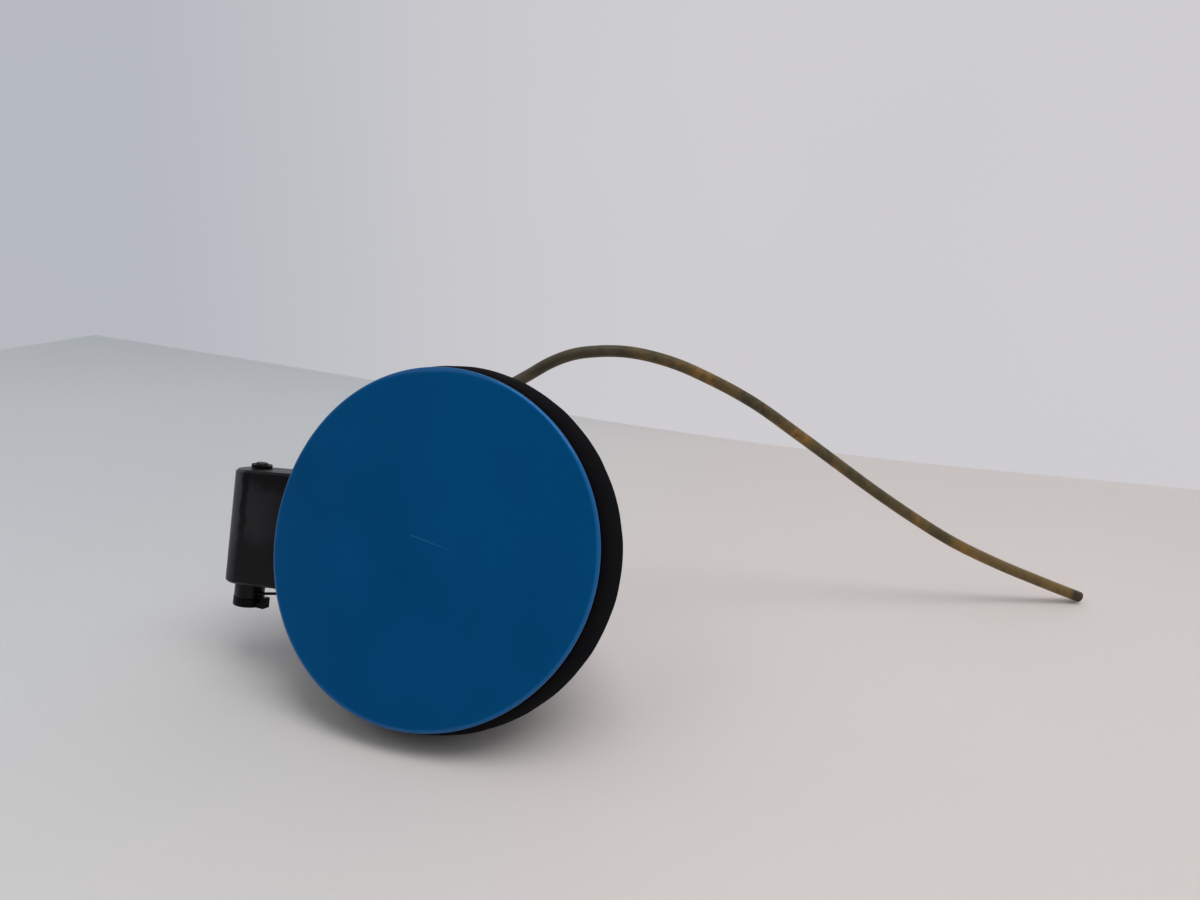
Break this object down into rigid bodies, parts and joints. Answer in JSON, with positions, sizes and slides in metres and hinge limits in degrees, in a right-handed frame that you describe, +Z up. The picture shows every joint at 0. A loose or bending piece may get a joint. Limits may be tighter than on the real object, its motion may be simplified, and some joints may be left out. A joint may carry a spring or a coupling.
{
  "type": "car fuel door",
  "caption": "Round painted fuel filler flap on a hinge arm, closed over a moulded bowl with a rubber rim seal, a neck grommet and a thin drain hose.",
  "frame": {"origin": "middle of the neck grommet's bore, at the back face of the bowl's floor", "axes": "+Y into the car along the filler neck, -Y out through the closed flap, -X towards the hinge, +Z up as pictured"},
  "size_m": [0.4384, 0.2568, 0.2065],
  "materials": {
    "paint": "gloss",
    "paint_inside": "satin",
    "arm_plastic": "matte",
    "bowl_plastic": "matte",
    "seal_rubber": "matte",
    "screw_steel": "satin",
    "pin_steel": "satin",
    "spring_steel": "matte",
    "hose_rubber": "matte"
  },
  "bodies": {
    "housing": {"bowl": "bowl_plastic", "hinge_pocket": "bowl_plastic", "rim_seal": "seal_rubber", "neck_grommet": "seal_rubber", "lock_bush": "bowl_plastic", "buffer_upper": "seal_rubber", "buffer_lower": "seal_rubber", "pin_bush": "bowl_plastic", "hinge_spring": "spring_steel", "drain_spigot": "bowl_plastic", "drain_hose": "hose_rubber"},
    "flap": {"flap_skin": "paint", "flap_inner_panel": "paint_inside", "hinge_arm": "arm_plastic", "arm_screw_upper": "screw_steel", "arm_screw_lower": "screw_steel", "latch_striker": "arm_plastic", "striker_screws": "screw_steel", "cap_rest": "arm_plastic", "hinge_pin": "pin_steel", "pin_cap": "bowl_plastic"}
  },
  "joints": [
    {"name": "flap_hinge", "type": "hinge", "parent": "housing", "child": "flap", "pos_m": [-0.1086, -0.0435, -0.0113], "axis": [0, 0.165, -0.9863], "range_deg": [0, 85]}
  ]
}
